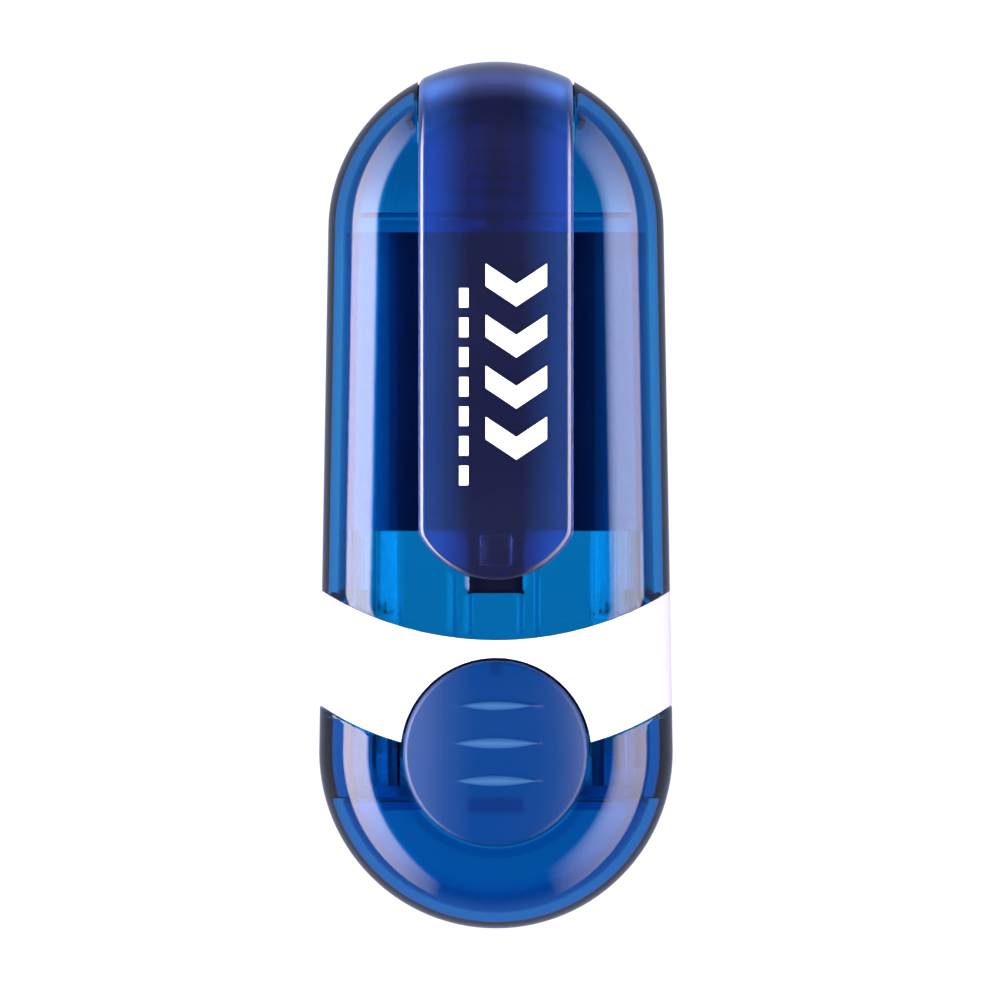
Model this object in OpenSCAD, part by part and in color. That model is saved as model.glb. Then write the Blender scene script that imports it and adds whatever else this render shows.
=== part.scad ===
// Pocket self-inking stamp for a round text plate.
// The stamp lies on its back: +Z is its front, +Y points to the clip end, and
// the origin is under its middle. All sizes are in millimetres.

/* [Body] */
// Overall length, from the dome to the tip of the end cap
body_l = 85.7; // [85:0.1:88]
// Depth of the body, front to back, without the clip
body_t = 33; // [33:0.1:34]
// Radius of the clip end, seen from the front
dome_r = 16.6; // [16.6:0.1:17]
// Radius of the cap end, seen from the front
base_r = 17.5; // [17.5:0.1:18]
// Radius of the long front and back edges
edge_r = 6.5; // [6:0.1:7]
// Wall thickness of the shells
wall_t = 1.5; // [1.4:0.05:1.6]

/* [Band] */
// Radius of the bowed edges of the white band
band_bow_r = 33; // [32:0.5:36]
// Where the band's upper edge crosses the centre line
band_top_y = -14.2; // [-14.5:0.1:-13.8]
// Height of the band, along the body
band_h = 11.4; // [11:0.1:11.6]

/* [Stamp mechanism] */
// Radius of the round text plate
plate_r = 12.3; // [12:0.1:12.3]
// Distance from the plate's printing face to the axle
axle_h = 5; // [5:0.1:5.2]
// Travel of the stamp frame out of the handle
stroke = 36; // [35.5:0.1:36]
// Where the frame's foot stands when the stamp is closed
foot_y = -29.8; // [-30:0.1:-29.6]
// Half width of the frame, side to side
frame_x = 13.8; // [13.7:0.05:13.85]
// Half depth of the frame, front to back
frame_z = 14.1; // [14:0.05:14.1]
// Radius of the axle pins
pin_r = 1; // [0.9:0.05:1.1]

/* [Button] */
// Radius of the release button
button_r = 9.15; // [8.8:0.05:9.2]
// How far the button stands out of the body
button_proud = 0.7; // [0.5:0.1:1]
// Number of grip ribs across the button
grip_ribs = 3; // [2:1:3]

/* [Clip] */
// Width of the pocket clip
clip_w = 15.2; // [14:0.1:15.2]
// Thickness of the pocket clip
clip_t = 2.2; // [1.8:0.1:2.4]
// Gap between the clip and the body, for the cloth
clip_gap = 1; // [0.8:0.1:1.2]
// Where the clip's free end stops
clip_end_y = -8.3; // [-9:0.1:-8]

/* [Hidden] */
$fn = 48;

shell_blue = [0.05, 0.36, 0.68, 0.6];
clip_blue = [0.12, 0.16, 0.45, 0.8];
inner_navy = [0.06, 0.07, 0.24];
eps = 0.01;
big = 60;

mid_z = body_t / 2;
dome_y = body_l / 2 - dome_r;
base_y = base_r - body_l / 2;
end_fn = 72;        // sides of the two rounded ends
edge_steps = 6;     // facets along a quarter of the long edges

// Frame, pad and axle along the body, closed
axle_y = foot_y + axle_h;
pad_gap = 0.25;
pad_y = axle_y + stroke + axle_h + pad_gap;
frame_wall_x = 0.9;
frame_wall_z = 0.8;
frame_corner = 5.5;
ring_h = 4;
foot_t = 1.2;
runner_l = 5.6;
side_top_y = 13.5;
housing_top_y = 25.6;
roof_t = 2;
slot_play = 0.25;

// Sleeve that carries the axle
sleeve_x = 15;
sleeve_z = 14.8;
sleeve_bore_x = frame_x + 0.25;
sleeve_bore_z = frame_z + 0.2;
sleeve_low_y = -3.5;
sleeve_top_y = 25.9;
arm_w = 7;
arm_past_axle = 2.4;
lock_t = 1.2;
guard_t = 0.8;

// Return spring on its post
spring_r = 4.3;
spring_wire = 0.8;
spring_turns = 9;
seat_depth = 1;
post_y = 37.9;
post_t = 1.2;
post_r = 2.9;
post_low_y = 29.5;

// Layers of the plate carrier, from the printing face up
rubber_t = 1.4;
relief_t = 0.4;
foam_t = 1;
dish_t = 1.5;
dish_r = 12.5;
ear_r = 1.6;
ear_in_x = 9.6;
ear_out_x = 12.3;

// End cap
cap_gap = 0.2;
collar_in = 0.2;    // play between the collar and the handle's bore
collar_t = 0.5;
collar_top_y = -17;
guard_y = foot_y - 0.4;

// Release button: the lever under it turns on a pin in the cap
button_y = base_y;
button_gap = 0.25;
button_low_z = body_t - 0.8;
floor_r = button_r + 1.15;
floor_low_z = mid_z + frame_z + 0.2;
floor_t = 0.4;
lever_w = 5.4;
lever_low_z = floor_low_z + 0.1;
hinge_y = -30.9;
hinge_z = body_t - 1.7;
hinge_pin_r = 0.45;
hinge_play = 0.05;
boss_r = 0.8;
ear_w = 1.4;
ear_gap = 0.2;
rib_half = 4.2;
rib_pitch = 3.7;

// Clip
clip_top_z = body_t + clip_gap + clip_t;
clip_bend_r = edge_r + 1.7;
clip_root_z = 20;
clip_bead_r = 0.9;
clip_bead_y = 40.3;
notch_play = 0.15;
notch_r = 11.4;     // the notch starts this far out from the dome's centre
root_play = 0.4;
clip_tip_bow = 8.6;
clip_tip_corner = 1.8;
mark_t = 0.12;

// Slot under the clip's tip, and the ribs around it
slot_w = 5.2;
slot_l = 5;
slot_y = clip_end_y - 1.2;
tongue_y = slot_y - 0.2;
guide_w = 0.4;
guide_h = 0.7;
guide_in_x = 2.5;
guide_out_x = 4.05;
guide_low_y = -13.6;
guide_l = 9.4;
stop_x = 13;
stop_h = 3;
stop_y = sleeve_top_y + 1.5;

function mirrored(points) = [for (i = [len(points) - 1:-1:0]) [-points[i].x, points[i].y]];

// Half outline of a rounded end, turned about the vertical to make it
function end_profile(r, inset) = let (
        e = edge_r - inset,
        cx = r - edge_r,
        low = edge_r,
        high = body_t - edge_r
    ) concat(
        [[0, inset]],
        [for (i = [0:edge_steps]) let (a = -90 + 90 * i / edge_steps)
            [cx + e * cos(a), low + e * sin(a)]],
        [for (i = [0:edge_steps]) let (a = 90 * i / edge_steps)
            [cx + e * cos(a), high + e * sin(a)]],
        [[0, body_t - inset]]
    );

// The outer form of the whole body, drawn in by inset
module body_form(inset) {
    hull() {
        translate([0, dome_y, 0])
            rotate_extrude($fn = end_fn) polygon(end_profile(dome_r, inset));
        translate([0, base_y, 0])
            rotate_extrude($fn = end_fn) polygon(end_profile(base_r, inset));
    }
}

// Everything above a bowed line that crosses the centre line at y
module above_bow(y, grow = 0) {
    translate([0, y + band_bow_r, -eps])
        cylinder(r = band_bow_r + grow, h = body_t + 2 * eps, $fn = 180);
    translate([-big / 2, 0, -eps]) cube([big, big, body_t + 2 * eps]);
}

// A flat outline in x and z, drawn out from y0 to y1
module along_y(y0, y1) {
    translate([0, y1, mid_z]) rotate([90, 0, 0]) linear_extrude(y1 - y0) children();
}

module slab_y(y0, y1) {
    translate([-big / 2, y0, -big / 2]) cube([big, y1 - y0, 2 * big]);
}

module rod_y(r, y0, y1) {
    translate([0, y1, mid_z]) rotate([90, 0, 0]) cylinder(r = r, h = y1 - y0);
}

module rod_x(r, x0, x1) {
    translate([x0, 0, 0]) rotate([0, 90, 0]) cylinder(r = r, h = x1 - x0);
}

// A rectangle with round corners, centred
module round_rect(half_x, half_z, r) {
    offset(r) square([2 * (half_x - r), 2 * (half_z - r)], center = true);
}

module tube_y(out_x, out_z, in_x, in_z, r, y0, y1) {
    along_y(y0, y1) difference() {
        round_rect(out_x, out_z, r);
        round_rect(in_x, in_z, r - (out_x - in_x));
    }
}

module shell_wall() {
    difference() {
        body_form(0);
        body_form(wall_t);
    }
}

module button_hole(r) {
    translate([0, button_y, mid_z + 10]) cylinder(r = r, h = body_t, $fn = 96);
}

// Handle ---------------------------------------------------------------

// Fine ribs inside the front, beside the slot and below it
module guide_ribs() {
    for (side = [-1, 1]) {
        guide_rib(side * guide_out_x, guide_l);
        guide_rib(side * guide_in_x, tongue_y - 0.1 - guide_low_y);
    }
}

module guide_rib(x, l) {
    translate([x - guide_w / 2, guide_low_y, body_t - wall_t - guide_h])
        cube([guide_w, l, guide_h + 0.2]);
}

// Stiffening rib inside the front wall, just above the sleeve
module stop_rib() {
    translate([-stop_x, stop_y, body_t - wall_t - stop_h]) cube([2 * stop_x, guide_w, stop_h + 0.2]);
}

// Seat of the clip's root, cut out of the dome
module clip_notch() {
    difference() {
        translate([-clip_w / 2 - notch_play, dome_y, clip_root_z - root_play])
            cube([clip_w + 2 * notch_play, dome_r + 1, body_t]);
        translate([0, dome_y, 0]) cylinder(r = notch_r, h = 2 * body_t, $fn = 96);
    }
}

module handle_shell() {
    color(shell_blue) difference() {
        union() {
            intersection() {
                shell_wall();
                above_bow(band_top_y);
            }
            guide_ribs();
            stop_rib();
        }
        clip_notch();
        translate([-slot_w / 2, slot_y, body_t - 2 * wall_t]) cube([slot_w, slot_l, 3 * wall_t]);
    }
}

module grip_band() {
    color("white") difference() {
        intersection() {
            shell_wall();
            above_bow(band_top_y - band_h);
        }
        above_bow(band_top_y, grow = 0.05);
        button_hole(button_r + button_gap);
    }
}

module yoke_sleeve() {
    color(inner_navy) difference() {
        union() {
            tube_y(sleeve_x, sleeve_z, sleeve_bore_x, sleeve_bore_z, frame_corner + 0.6,
                sleeve_low_y, sleeve_top_y);
            for (side = [0, 1]) mirror([side, 0, 0])
                translate([sleeve_bore_x, axle_y - arm_past_axle, mid_z - arm_w / 2])
                    cube([sleeve_x - sleeve_bore_x, sleeve_low_y + 3 - axle_y + arm_past_axle, arm_w]);
            // tongue that closes the slot under the clip's tip
            translate([-slot_w / 2 - 0.2, tongue_y, mid_z + sleeve_bore_z])
                cube([slot_w + 0.4, sleeve_low_y + 1 - tongue_y, sleeve_z - sleeve_bore_z]);
        }
        translate([0, axle_y, mid_z]) rod_x(pin_r + 0.05, -big / 2, big / 2);
    }
}

module lock_plate() {
    color(shell_blue) difference() {
        intersection() {
            body_form(wall_t + 0.05);
            slab_y(sleeve_top_y, sleeve_top_y + lock_t);
        }
        rod_y(spring_r + 1.4, sleeve_top_y - 1, sleeve_top_y + lock_t + 1);
    }
}

module spring_post() {
    color(inner_navy) {
        intersection() {
            body_form(wall_t + 0.05);
            slab_y(post_y, post_y + post_t);
            // the upper half stays clear of the clip's root
            union() {
                translate([-big / 2, 0, 0]) cube([big, big, clip_root_z - 1]);
                translate([0, dome_y, 0])
                    cylinder(r = dome_r - clip_t - 0.5, h = body_t, $fn = 96);
            }
        }
        rod_y(post_r, post_low_y, post_y + eps);
    }
}

// A round wire wound about +Y, with its ends at y0 and y1
module coil(r, wire, turns, y0, y1) {
    per_turn = 20;
    sides = 6;
    rings = turns * per_turn;
    low = y0 + wire / 2;
    high = y1 - wire / 2;
    points = [for (i = [0:rings], k = [0:sides - 1]) let (
            turn = 360 * i / per_turn,
            around = 360 * k / sides,
            out = r + wire / 2 * cos(around)
        ) [out * cos(turn), low + (high - low) * i / rings + wire / 2 * sin(around),
            mid_z + out * sin(turn)]];
    walls = [for (i = [0:rings - 1], k = [0:sides - 1]) let (n = (k + 1) % sides)
        [i * sides + k, i * sides + n, (i + 1) * sides + n, (i + 1) * sides + k]];
    start = [[for (k = [sides - 1:-1:0]) k]];
    finish = [[for (k = [0:sides - 1]) rings * sides + k]];
    polyhedron(points, concat(walls, start, finish), convexity = 10);
}

module return_spring() {
    color("silver") coil(spring_r, spring_wire, spring_turns,
        housing_top_y - seat_depth, post_y);
}

// Stamp frame ----------------------------------------------------------

module frame_tube(y0, y1) {
    tube_y(frame_x, frame_z, frame_x - frame_wall_x, frame_z - frame_wall_z,
        frame_corner, y0, y1);
}

module base_frame() {
    window_x = 9.3;
    slot_r = pin_r + slot_play;
    color(shell_blue) difference() {
        frame_tube(foot_y + foot_t, side_top_y);
        // open front and back, where the plate swings over
        translate([-window_x, foot_y + ring_h, -1])
            cube([2 * window_x, side_top_y - 2.5 - foot_y - ring_h, body_t + 2]);
        // slots that the axle pins run in
        translate([0, axle_y, mid_z]) rod_x(slot_r, -big / 2, big / 2);
        translate([0, axle_y + stroke, mid_z]) rod_x(slot_r, -big / 2, big / 2);
        translate([-big / 2, axle_y, mid_z - slot_r]) cube([big, stroke, 2 * slot_r]);
        // room for the latch lever
        translate([-lever_w / 2 - 0.5, foot_y, mid_z + frame_z - 0.4])
            cube([lever_w + 1, ring_h + 1, 2]);
        runner_space();
    }
}

// Dark wear strips let into the frame's foot
module runner_space() {
    for (x = [-10, 10], side = [-1, 1])
        translate([x - 0.55, foot_y + foot_t, mid_z + side * (frame_z - 0.85) - 0.5])
            cube([1.1, runner_l, 1]);
}

module frame_runners() {
    color(inner_navy) intersection() {
        runner_space();
        along_y(foot_y, side_top_y) round_rect(frame_x, frame_z, frame_corner);
    }
}

module foot_ring() {
    color([0.2, 0.22, 0.3]) difference() {
        frame_tube(foot_y, foot_y + foot_t);
        translate([-lever_w / 2 - 0.5, foot_y - 1, mid_z + frame_z - 0.4])
            cube([lever_w + 1, ring_h, 2]);
    }
}

module pad_housing() {
    color(inner_navy) difference() {
        union() {
            frame_tube(side_top_y, housing_top_y - roof_t + eps);
            along_y(housing_top_y - roof_t, housing_top_y)
                round_rect(frame_x, frame_z, frame_corner);
        }
        rod_y(spring_r + 0.8, housing_top_y - seat_depth, housing_top_y + 1);
    }
}

module pad_cassette() {
    lip = 0.35;
    color([0.16, 0.17, 0.22]) difference() {
        along_y(pad_y + lip, housing_top_y - roof_t - 0.1)
            round_rect(frame_x - frame_wall_x - 0.1, frame_z - frame_wall_z - 0.1, 4.4);
        rod_y(plate_r + 0.15, pad_y - 1, pad_y + 4.5);
    }
}

module ink_pad() {
    color([0.08, 0.1, 0.3]) rod_y(plate_r + 0.1, pad_y, pad_y + 4.5);
}

// Plate carrier --------------------------------------------------------

module plate_carrier() {
    dish_y = foot_y + rubber_t + foam_t;
    color([0.75, 0.76, 0.8]) difference() {
        union() {
            rod_y(dish_r, dish_y, dish_y + dish_t);
            for (side = [0, 1]) mirror([side, 0, 0]) intersection() {
                union() {
                    translate([0, axle_y, mid_z]) rod_x(ear_r, ear_in_x, ear_out_x);
                    translate([ear_in_x, dish_y + dish_t - eps, mid_z - ear_r])
                        cube([ear_out_x - ear_in_x, axle_y - dish_y - dish_t, 2 * ear_r]);
                }
                rod_y(dish_r, dish_y, axle_y + ear_r + 1);
            }
        }
        translate([0, axle_y, mid_z]) {
            rod_x(pin_r, ear_in_x - 1, ear_out_x + 1);
            rod_x(pin_r, -ear_out_x - 1, -ear_in_x + 1);
        }
    }
}

module axle_pins() {
    color("silver") for (side = [0, 1]) mirror([side, 0, 0])
        translate([0, axle_y, mid_z]) rod_x(pin_r, ear_in_x + 0.3, sleeve_x - 0.1);
}

module foam_cushion() {
    color([0.86, 0.86, 0.82]) rod_y(plate_r, foot_y + rubber_t, foot_y + rubber_t + foam_t);
}

// Printing plate with a plain ring and rays standing up from it
module text_plate() {
    color([0.72, 0.26, 0.2]) {
        rod_y(plate_r, foot_y + relief_t, foot_y + rubber_t);
        difference() {
            rod_y(plate_r - 0.4, foot_y, foot_y + relief_t + eps);
            rod_y(plate_r - 1.2, foot_y - 1, foot_y + rubber_t);
        }
        for (a = [0:45:315]) translate([0, 0, mid_z]) rotate([0, a, 0])
            translate([4, foot_y, -0.6]) cube([5.5, relief_t + eps, 1.2]);
        rod_y(2, foot_y, foot_y + relief_t + eps);
    }
}

// End cap --------------------------------------------------------------

module below_bow(grow) {
    difference() {
        slab_y(-big, 0);
        above_bow(band_top_y - band_h, grow);
    }
}

module end_cap() {
    color(shell_blue) difference() {
        union() {
            intersection() {
                shell_wall();
                below_bow(cap_gap);
            }
            cap_collar();
            button_floor();
            hinge_ears();
        }
        // way through for the latch lever
        translate([-lever_w / 2 - ear_gap, hinge_y - 1.3, floor_low_z - 3])
            cube([lever_w + 2 * ear_gap, collar_top_y + 4 - hinge_y, button_low_z - floor_low_z + 3]);
        button_recess();
        translate([0, hinge_y, hinge_z]) rod_x(hinge_pin_r, -6, 6);
    }
}

// Thin ring that plugs into the handle's mouth
module cap_collar() {
    difference() {
        intersection() {
            body_form(wall_t - 0.1);
            union() {
                intersection() {
                    body_form(wall_t + collar_in);
                    slab_y(foot_y, collar_top_y);
                }
                intersection() {
                    slab_y(foot_y, collar_top_y);
                    below_bow(cap_gap);
                }
            }
        }
        body_form(wall_t + collar_in + collar_t);
    }
}

// Floor of the hollow that the button lies in
module button_floor() {
    translate([0, button_y, floor_low_z]) cylinder(r = floor_r, h = floor_t, $fn = 96);
    intersection() {
        translate([0, button_y, floor_low_z])
            cylinder(r = floor_r, h = body_t - wall_t - floor_low_z + 0.1, $fn = 96);
        below_bow(cap_gap);
    }
}

module button_recess() {
    translate([0, button_y, floor_low_z + floor_t])
        cylinder(r = button_r + button_gap, h = 10, $fn = 96);
}

module hinge_ears() {
    for (side = [0, 1]) mirror([side, 0, 0])
        translate([lever_w / 2 + ear_gap, hinge_y - 1.1, floor_low_z - 0.5])
            cube([ear_w, 2, 1]);
}

module ink_guard() {
    color([0.1, 0.25, 0.55]) difference() {
        intersection() {
            body_form(wall_t + 0.05);
            slab_y(guard_y - guard_t, guard_y);
        }
        // clear of the button's floor and its ears
        translate([-floor_r - 0.2, -big, floor_low_z - 0.7])
            cube([2 * floor_r + 0.4, big, 4]);
    }
}

module button_pin() {
    color("silver") translate([0, hinge_y, hinge_z])
        rod_x(hinge_pin_r, -lever_w / 2 - ear_w - 0.1, lever_w / 2 + ear_w + 0.1);
}

// Two arched leaves that push the button up
module button_spring() {
    rise = button_low_z - floor_low_z - floor_t;
    span = 5;
    leaf_r = (span * span / 4 + rise * rise) / (2 * rise);
    color("silver") for (x = [-6, 4])
        translate([x, button_y + 2.5, floor_low_z + floor_t + rise - leaf_r])
            rotate([0, 90, 0]) linear_extrude(2) intersection() {
                difference() {
                    circle(leaf_r);
                    circle(leaf_r - 0.2);
                }
                translate([-leaf_r - 1, -span / 2]) square([rise + 1, span]);
            }
}

// Button ---------------------------------------------------------------

module button_disc() {
    round_r = 0.9;
    top_z = body_t + button_proud;
    color(shell_blue) {
        translate([0, button_y, 0]) rotate_extrude($fn = 96) {
            translate([0, button_low_z]) square([button_r, top_z - round_r - button_low_z]);
            translate([0, button_low_z]) square([button_r - round_r, top_z - button_low_z]);
            translate([button_r - round_r, top_z - round_r]) intersection() {
                circle(round_r, $fn = 32);
                square(round_r + 1);
            }
        }
        for (i = [0:grip_ribs - 1])
            translate([0, button_y + 1 + rib_pitch * (1 - i), top_z]) grip_rib();
    }
}

// A low lens that stands out of the button
module grip_rib() {
    bow = 9.5;
    intersection() {
        translate([-rib_half, -0.5, -0.4]) cube([2 * rib_half, 1, 0.75]);
        translate([0, bow - 0.5, -1]) cylinder(r = bow + 0.05, h = 3, $fn = 96);
        translate([0, -bow + 0.5, -1]) cylinder(r = bow + 0.05, h = 3, $fn = 96);
    }
}

module latch_lever() {
    hook_y = -15;
    color(inner_navy) difference() {
        union() {
            translate([-lever_w / 2, hinge_y, lever_low_z])
                cube([lever_w, 3, button_low_z - lever_low_z]);
            translate([-lever_w / 2, hinge_y + 3 - eps, lever_low_z])
                cube([lever_w, 2, 0.5]);
            translate([-1.2, hinge_y + 3, lever_low_z])
                cube([2.4, hook_y - hinge_y - 3, 0.5]);
            translate([-1.2, -17.6, lever_low_z])
                cube([2.4, 1, button_low_z - lever_low_z]);
            translate([0, hinge_y, hinge_z]) rod_x(boss_r, -lever_w / 2, lever_w / 2);
        }
        translate([0, hinge_y, hinge_z])
            rod_x(hinge_pin_r + hinge_play, -lever_w, lever_w);
    }
}

// Clip -----------------------------------------------------------------

// Solid dome that the clip's outer or inner face is turned on
module clip_dome(inset) {
    r = dome_r - inset;
    bend = clip_bend_r - inset;
    translate([0, dome_y, 0]) rotate_extrude($fn = 120) {
        square([r, clip_top_z - inset - bend]);
        square([r - bend, clip_top_z - inset]);
        translate([r - bend, clip_top_z - inset - bend]) intersection() {
            circle(bend, $fn = 64);
            square(bend + 1);
        }
    }
}

// Outline of the clip from the front: square sides, a bowed and rounded tip
module clip_outline() {
    offset(clip_tip_corner) offset(delta = -clip_tip_corner) intersection() {
        translate([-clip_w / 2, -big / 2]) square([clip_w, 2 * big]);
        union() {
            translate([0, clip_end_y + clip_tip_bow]) circle(clip_tip_bow, $fn = 120);
            translate([-big / 2, clip_end_y + clip_tip_bow]) square(big);
        }
    }
}

module pocket_clip() {
    color(clip_blue) {
        intersection() {
            linear_extrude(clip_top_z + 1) clip_outline();
            union() {
                difference() {
                    clip_dome(0);
                    clip_dome(clip_t);
                    translate([-big / 2, -big, -1]) cube([big, big + dome_y, big]);
                    translate([-big / 2, 0, -1]) cube([big, big, clip_root_z + 1]);
                }
                translate([-big / 2, clip_end_y - 1, clip_top_z - clip_t])
                    cube([big, dome_y - clip_end_y + 1 + eps, clip_t]);
            }
        }
        // bead that the clip bends about
        translate([0, clip_bead_y, clip_root_z + clip_bead_r])
            rod_x(clip_bead_r, -clip_w / 2 + 1.1, clip_w / 2 - 1.1);
        // nub that holds the cloth
        translate([-1.6, clip_end_y + 1.4, body_t + 0.3]) cube([3.2, 3, clip_gap]);
    }
}

// Plain printed mark: arrows that point the way the stamp is pressed
module clip_mark() {
    color("white") translate([0, 0, clip_top_z]) linear_extrude(mark_t) {
        for (i = [0:3]) translate([2, 18.5 - 5 * i]) arrow_head(3, 2.2);
        for (i = [0:6]) translate([-3.6, 1 + 2.9 * i]) square([0.9, 1.9]);
    }
}

module arrow_head(half_w, thick) {
    right = [[0, 0], [half_w, 2], [half_w, 2 + thick], [0, thick]];
    polygon(concat(right, mirrored([right[1], right[2]])));
}

handle_shell();
grip_band();
yoke_sleeve();
lock_plate();
spring_post();
return_spring();
base_frame();
frame_runners();
foot_ring();
pad_housing();
pad_cassette();
ink_pad();
plate_carrier();
axle_pins();
foam_cushion();
text_plate();
end_cap();
ink_guard();
button_pin();
button_spring();
button_disc();
latch_lever();
pocket_clip();
clip_mark();
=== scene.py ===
"""Pocket self-inking stamp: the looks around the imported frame."""
import math

import bpy
import bmesh
from mathutils import Matrix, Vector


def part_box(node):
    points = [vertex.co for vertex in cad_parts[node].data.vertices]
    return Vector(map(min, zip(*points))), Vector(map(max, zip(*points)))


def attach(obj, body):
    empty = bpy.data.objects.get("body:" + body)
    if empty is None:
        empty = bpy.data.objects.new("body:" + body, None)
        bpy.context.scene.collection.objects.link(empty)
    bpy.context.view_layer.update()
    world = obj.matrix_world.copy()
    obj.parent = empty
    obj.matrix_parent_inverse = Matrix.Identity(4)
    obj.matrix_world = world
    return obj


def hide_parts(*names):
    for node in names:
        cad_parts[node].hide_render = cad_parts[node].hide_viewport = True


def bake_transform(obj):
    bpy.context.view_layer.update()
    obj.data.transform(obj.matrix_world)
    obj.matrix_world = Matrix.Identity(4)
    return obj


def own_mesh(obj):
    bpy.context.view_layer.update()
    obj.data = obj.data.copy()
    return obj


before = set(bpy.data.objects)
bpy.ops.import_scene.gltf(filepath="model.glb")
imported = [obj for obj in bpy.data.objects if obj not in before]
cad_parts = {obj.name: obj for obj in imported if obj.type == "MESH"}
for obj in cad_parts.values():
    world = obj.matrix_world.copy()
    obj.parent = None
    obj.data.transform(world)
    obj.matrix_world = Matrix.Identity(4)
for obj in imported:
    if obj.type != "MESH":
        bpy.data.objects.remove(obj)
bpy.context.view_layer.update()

MM = 0.001

# Main sizes, read from the frame -------------------------------------------
cap_lo, cap_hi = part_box("end_cap")
clip_lo, clip_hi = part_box("pocket_clip")
disc_lo, disc_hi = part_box("button_disc")
spring_lo, spring_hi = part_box("return_spring")
cap_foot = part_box("foot_ring")[0].y

# The body: two round ends joined by tapered sides, with rounded edges all round
DEPTH = cap_hi.z
TIP_Y = cap_lo.y
BASE_R = cap_hi.x
BASE_Y = TIP_Y + BASE_R
DOME_R = 16.6 * MM
DOME_Y = -TIP_Y - DOME_R
EDGE_R = 6.5 * MM
WALL = 1.5 * MM

# The band's bowed edges, and the cap's mouth below it
BOW_R = 33 * MM
BAND_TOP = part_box("handle_shell")[0].y
BAND_H = 11.4 * MM
BAND_LOW = BAND_TOP - BAND_H
MOUTH_Y = BAND_LOW + BOW_R
SEAM = 0.2 * MM

# The button and its three ribs
BUTTON_Y = (disc_lo.y + disc_hi.y) / 2
BUTTON_R = disc_hi.x
BUTTON_PLAY = 0.25 * MM
DISC_TOP = DEPTH + 0.7 * MM
ROUND_R = 0.55 * MM
CROWN = 0.45 * MM
RIB_HALF = 4.8 * MM
RIB_W = 0.7 * MM
RIB_H = 0.33 * MM
RIB_STEP = 3.7 * MM
RIB_UP = 1 * MM

# The clip, its bowed free end and the round corners there
CLIP_T = 2.2 * MM
CLIP_EDGE = 0.6 * MM
BEND_R = 8.2 * MM
NOTCH_R = 11.4 * MM
TIP_BOW = 8.6 * MM
TIP_CORNER = 1.8 * MM
BOW_Y = clip_lo.y + TIP_BOW
CORNER_X = clip_hi.x - TIP_CORNER
CORNER_Y = BOW_Y - math.sqrt((TIP_BOW - TIP_CORNER) ** 2 - CORNER_X ** 2)
SLOT_HALF = 2.6 * MM
SLOT_Y = clip_lo.y - 1.2 * MM

# The return spring
SPRING_R = 4.3 * MM
WIRE_R = 0.4 * MM

# Ribs inside the handle's front wall: fine ones along it, and one across it
GUIDES = ((4.05 * MM, -4.2 * MM), (2.5 * MM, -9.8 * MM))  # distance from the middle, upper end
GUIDE_LOW = -13.6 * MM
GUIDE_W = 0.4 * MM
GUIDE_H = 0.7 * MM
CROSS_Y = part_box("yoke_sleeve")[1].y + 1.5 * MM
CROSS_HALF = 13 * MM
CROSS_H = 3 * MM
SINK = 0.3 * MM

# The cap's walls lap each other by LAP, and OFF keeps two faces from lying in one plane
LAP = 0.1 * MM
OFF = 0.03 * MM

# Clearances and cut-outs
CLIP_PLAY = 0.15 * MM
ROOT_PLAY = 0.4 * MM
SLOT_L = 5 * MM
PLUG_L = 8 * MM
LINER_T = 0.4 * MM
COLLAR_T = 0.5 * MM
FLOOR_Z = 30.8 * MM
FLOOR_T = 0.4 * MM
FLOOR_R = BUTTON_R + 1.15 * MM
EAR_IN = 2.9 * MM
EAR_W = 1.4 * MM
EAR_HALF_H = 0.5 * MM
EAR_Y = (-32 * MM, -30 * MM)
OPENING_Y = (-32.2 * MM, -13 * MM)
BIG = 70 * MM


# Small mesh tools ------------------------------------------------------------
def new_object(name, verts, faces, smooth_angle=35):
    mesh = bpy.data.meshes.new(name)
    mesh.from_pydata(verts, [], faces)
    mesh.validate()
    obj = bpy.data.objects.new(name, mesh)
    bpy.context.scene.collection.objects.link(obj)
    fix_normals(obj)
    smooth(obj, smooth_angle)
    return obj


def fix_normals(obj):
    bm = bmesh.new()
    bm.from_mesh(obj.data)
    bmesh.ops.remove_doubles(bm, verts=bm.verts, dist=1e-7)
    bmesh.ops.recalc_face_normals(bm, faces=bm.faces)
    bm.to_mesh(obj.data)
    bm.free()


def smooth(obj, angle=35):
    obj.data.shade_smooth()
    obj.data.set_sharp_from_angle(angle=math.radians(angle))


def apply_modifiers(obj):
    depsgraph = bpy.context.evaluated_depsgraph_get()
    mesh = bpy.data.meshes.new_from_object(obj.evaluated_get(depsgraph))
    obj.modifiers.clear()
    old = obj.data
    obj.data = mesh
    mesh.name = obj.name
    bpy.data.meshes.remove(old)


def cut(obj, tools, operation="DIFFERENCE"):
    """Boolean obj with each tool, then remove the tools."""
    for tool in tools:
        mod = obj.modifiers.new("cut", "BOOLEAN")
        mod.operation = operation
        mod.solver = "EXACT"
        mod.object = tool
        bpy.context.view_layer.update()
        apply_modifiers(obj)
        bpy.data.objects.remove(tool)
    return obj


def soften(obj, width, segments=2, angle=40):
    """Round the sharp edges a little, as a mould does."""
    mod = obj.modifiers.new("soften", "BEVEL")
    mod.width = width
    mod.segments = segments
    mod.limit_method = "ANGLE"
    mod.angle_limit = math.radians(angle)
    mod.harden_normals = False
    mod.use_clamp_overlap = True
    bpy.context.view_layer.update()
    apply_modifiers(obj)
    smooth(obj, 50)
    return obj


def box_tool(lo, hi):
    verts = [(x, y, z) for x in (lo[0], hi[0]) for y in (lo[1], hi[1]) for z in (lo[2], hi[2])]
    faces = [(0, 1, 3, 2), (4, 6, 7, 5), (0, 4, 5, 1), (2, 3, 7, 6), (0, 2, 6, 4), (1, 5, 7, 3)]
    return new_object("tool", verts, faces)


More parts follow.
